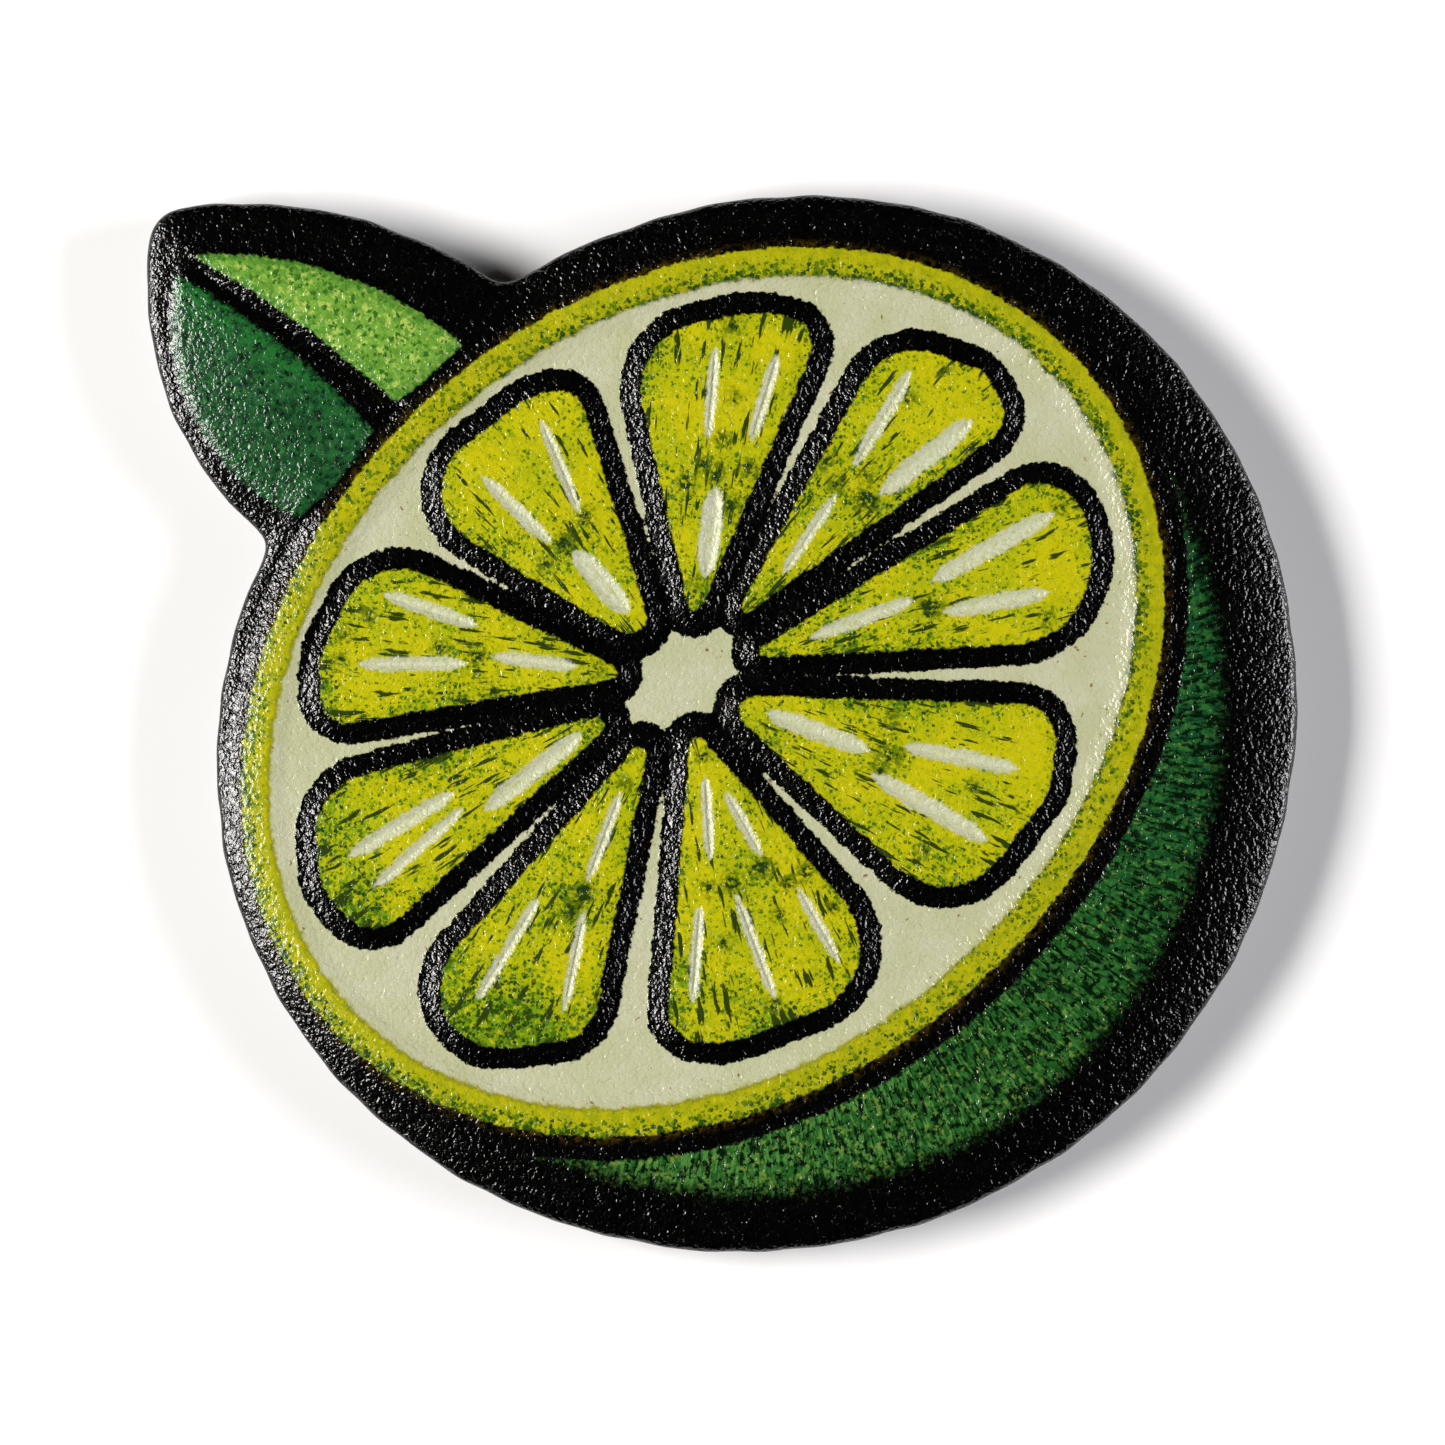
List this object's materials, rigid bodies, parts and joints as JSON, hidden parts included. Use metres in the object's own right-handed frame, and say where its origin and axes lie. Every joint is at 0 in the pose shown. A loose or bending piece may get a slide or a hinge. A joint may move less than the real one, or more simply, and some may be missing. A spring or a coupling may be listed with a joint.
{
  "type": "embossed leather lime patch",
  "caption": "Flat die-cut leather patch, embossed and printed with a cut lime and one leaf, on a suede backing.",
  "frame": {"origin": "centre of the patch's outline on the flat back that it lies on", "axes": "+Z out of the printed face, +X to the picture's right, +Y to the picture's top"},
  "size_m": [0.0448, 0.0412, 0.0027],
  "materials": {
    "printed_leather": "pebble-grained black leather, ink-printed in lime green, yellow and cream, with a low satin sheen",
    "backing_suede": "charcoal split suede with a short matt nap"
  },
  "bodies": {
    "root": {"embossed_leather": "printed_leather", "suede_backing": "backing_suede"}
  },
  "joints": []
}
